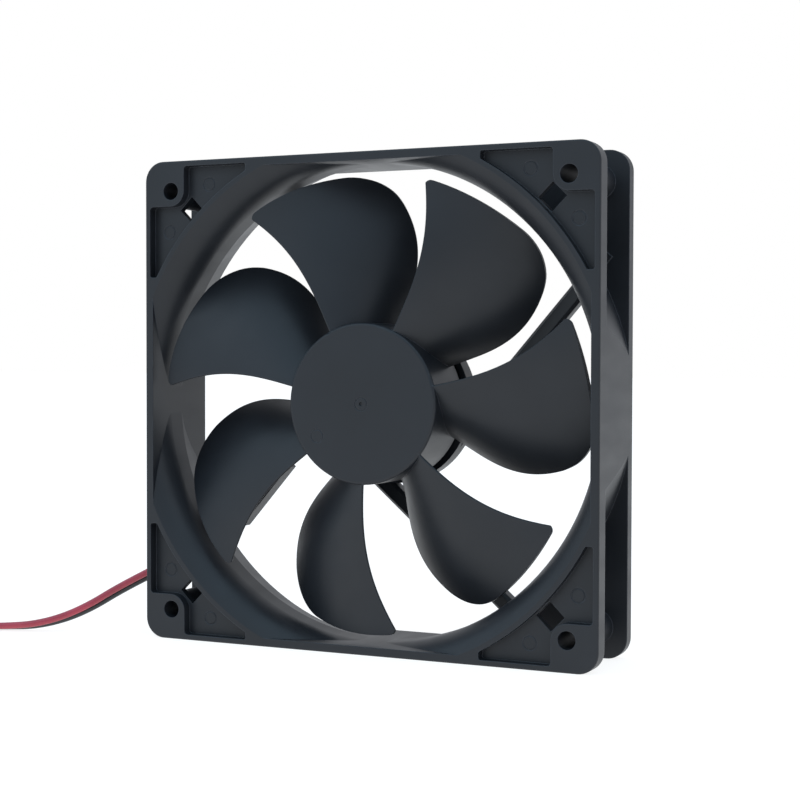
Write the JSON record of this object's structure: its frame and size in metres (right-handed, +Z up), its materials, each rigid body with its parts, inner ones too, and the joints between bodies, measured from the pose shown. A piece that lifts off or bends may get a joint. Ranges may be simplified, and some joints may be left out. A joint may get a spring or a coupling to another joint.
{
  "type": "case fan",
  "caption": "Square-framed axial cooling fan with a seven-bladed impeller on a brushless outrunner motor, ball bearings and a two-wire lead",
  "frame": {"origin": "middle of the frame's lower edge, where the fan stands", "axes": "+Z up, +X to the right as seen from the intake face, +Y from the intake face to the exhaust face"},
  "size_m": [0.1988, 0.0441, 0.12],
  "materials": {
    "frame_plastic": "glass-filled moulding, fine satin",
    "impeller_plastic": "moulded, smooth satin",
    "zinc_steel": "zinc plated",
    "ferrite": "bonded ferrite, dull",
    "ground_steel": "ground",
    "brass": "turned",
    "spring_steel": "oiled spring steel",
    "nylon": "natural nylon",
    "lamination_steel": "stacked laminations",
    "insulator_plastic": "natural moulding",
    "copper_winding": "enamelled copper wire",
    "tinned_brass": "bright tin",
    "board_laminate": "solder mask",
    "chip_plastic": "moulded epoxy",
    "capacitor_body": "ceramic",
    "resistor_body": "glazed ceramic",
    "solder": "bright solder",
    "label_paper": "blank silvered film",
    "bearing_steel": "ground and polished",
    "cage_plastic": "natural nylon",
    "red_insulation": "PVC insulation",
    "black_insulation": "PVC insulation",
    "tie_plastic": "nylon tie",
    "connector_plastic": "natural nylon"
  },
  "bodies": {
    "housing": {"bearing_tube": "brass", "black_lead_free": "black_insulation", "black_lead_inner": "black_insulation", "black_lead_tail": "black_insulation", "circuit_board": "board_laminate", "connector_contacts": "tinned_brass", "connector_housing": "connector_plastic", "driver_chip": "chip_plastic", "filter_capacitor": "capacitor_body", "frame": "frame_plastic", "front_bearing_outer_ring": "bearing_steel", "front_bearing_shields": "bearing_steel", "front_insulator": "insulator_plastic", "lead_coil": "red_insulation", "lead_tie": "tie_plastic", "rear_bearing_outer_ring": "bearing_steel", "rear_bearing_shields": "bearing_steel", "rear_insulator": "insulator_plastic", "rear_label": "label_paper", "red_lead_free": "red_insulation", "red_lead_inner": "red_insulation", "red_lead_tail": "red_insulation", "reverse_diode": "chip_plastic", "sense_resistor": "resistor_body", "solder_joints": "solder", "start_resistor": "resistor_body", "stator_core": "lamination_steel", "winding_1": "copper_winding", "winding_2": "copper_winding", "winding_3": "copper_winding", "winding_4": "copper_winding", "winding_pins": "tinned_brass"},
    "rotor": {"impeller": "impeller_plastic", "rotor_yoke": "zinc_steel", "rotor_magnet": "ferrite", "shaft": "ground_steel", "shaft_bush": "brass", "shaft_clip": "spring_steel", "shaft_washer": "nylon", "preload_spring": "spring_steel", "front_bearing_inner_ring": "bearing_steel", "rear_bearing_inner_ring": "bearing_steel"},
    "front_ball_set": {"front_bearing_balls": "bearing_steel", "front_bearing_cage": "cage_plastic"},
    "rear_ball_set": {"rear_bearing_balls": "bearing_steel", "rear_bearing_cage": "cage_plastic"}
  },
  "joints": [
    {"name": "impeller_spin", "type": "hinge", "parent": "housing", "child": "rotor", "pos_m": [0, 0, 0.06], "axis": [0, -1, 0], "continuous": true},
    {"name": "front_balls_orbit", "type": "hinge", "parent": "housing", "child": "front_ball_set", "pos_m": [0, -0.0038, 0.06], "axis": [0, -1, 0], "continuous": true},
    {"name": "rear_balls_orbit", "type": "hinge", "parent": "housing", "child": "rear_ball_set", "pos_m": [0, 0.007, 0.06], "axis": [0, -1, 0], "continuous": true}
  ],
  "couplings": [
    {"joint": "front_balls_orbit", "follows": "impeller_spin", "ratio": 0.3636},
    {"joint": "rear_balls_orbit", "follows": "impeller_spin", "ratio": 0.3636}
  ]
}
